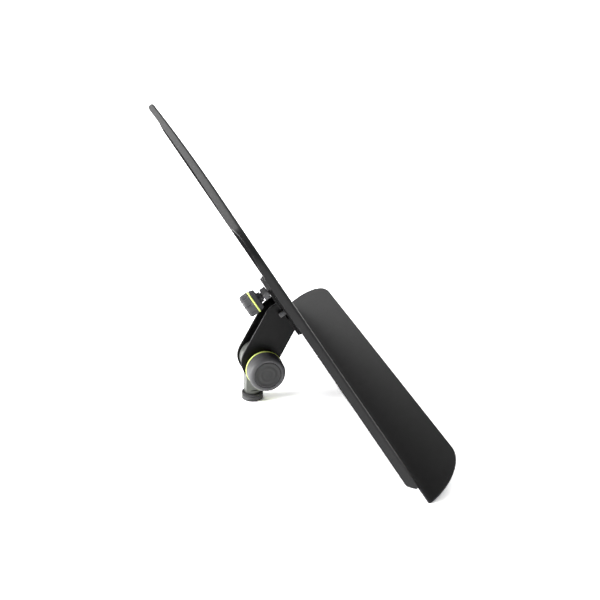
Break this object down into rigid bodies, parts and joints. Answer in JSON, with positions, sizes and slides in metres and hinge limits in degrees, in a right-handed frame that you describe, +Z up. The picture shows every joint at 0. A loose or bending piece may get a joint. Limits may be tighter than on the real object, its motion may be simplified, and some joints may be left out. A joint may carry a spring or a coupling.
{
  "type": "music stand desk head",
  "caption": "Sheet-steel music desk with a ledge on a tilting U-bracket, a sliding rear mount, clamp knobs and a short socketed stem.",
  "frame": {"origin": "bottom centre of the bounding box, on the surface that the head lies on", "axes": "+X to the reader's right along the desk's width, +Y away from the reader, +Z up"},
  "size_m": [0.5, 0.2116, 0.2626],
  "materials": {
    "powder_coat": "fine matt black powder coat",
    "black_steel": "satin black coat",
    "cast_grey": "bead-blasted grey casting",
    "zinc": "bright zinc plate",
    "brass": "turned brass",
    "grip": "soft-touch dark grey",
    "cap": "matt moulded black",
    "lime": "satin lime green",
    "nylon": "black nylon"
  },
  "bodies": {
    "stem": {"stem_body": "cast_grey", "socket_bush": "brass", "knurled_collar": "cast_grey", "grub_screw": "black_steel"},
    "bracket": {"u_bracket": "black_steel", "slide_guide": "black_steel", "bracket_screw_left": "zinc", "bracket_screw_right": "zinc", "clamp_nut": "black_steel", "pivot_bolt": "zinc", "friction_disc_left": "nylon", "friction_disc_right": "nylon"},
    "desk": {"desk_panel": "powder_coat", "rear_rail": "black_steel", "rail_rivet_1": "black_steel", "rail_rivet_2": "black_steel", "rail_rivet_3": "black_steel", "rail_rivet_4": "black_steel"},
    "washer": {"tilt_washer": "zinc"},
    "tilt_knob": {"tilt_knob_base": "grip", "tilt_knob_ring": "lime", "tilt_knob_grip": "grip", "tilt_knob_cap": "cap", "tilt_knob_insert": "brass"},
    "pad": {"clamp_pad": "nylon"},
    "desk_knob": {"desk_knob_stud": "zinc", "desk_knob_base": "grip", "desk_knob_ring": "lime", "desk_knob_grip": "grip", "desk_knob_cap": "cap"}
  },
  "joints": [
    {"name": "desk_tilt", "type": "hinge", "parent": "stem", "child": "bracket", "pos_m": [0, 0.02715, 0.03829], "axis": [1, 0, 0], "range_deg": [-57, 40]},
    {"name": "desk_slide", "type": "slide", "parent": "bracket", "child": "desk", "axis": [0, 0.5417, 0.8406], "range_m": [0, 0.045]},
    {"name": "tilt_washer_slide", "type": "slide", "parent": "bracket", "child": "washer", "axis": [-1, 0, 0], "range_m": [0, 0.0025]},
    {"name": "tilt_knob_turn", "type": "hinge", "parent": "washer", "child": "tilt_knob", "pos_m": [0, 0.02715, 0.03829], "axis": [-1, 0, 0], "range_deg": [0, 720]},
    {"name": "clamp_pad_slide", "type": "slide", "parent": "bracket", "child": "pad", "axis": [0, 0.8406, -0.5417], "range_m": [0, 0.0025]},
    {"name": "desk_knob_turn", "type": "hinge", "parent": "pad", "child": "desk_knob", "pos_m": [0, 0.01032, 0.12313], "axis": [0, 0.8406, -0.5417], "range_deg": [0, 720]}
  ],
  "couplings": [
    {"joint": "tilt_knob_turn", "follows": "tilt_washer_slide", "rad_per_m": 5026.5},
    {"joint": "desk_knob_turn", "follows": "clamp_pad_slide", "rad_per_m": 5026.5}
  ]
}
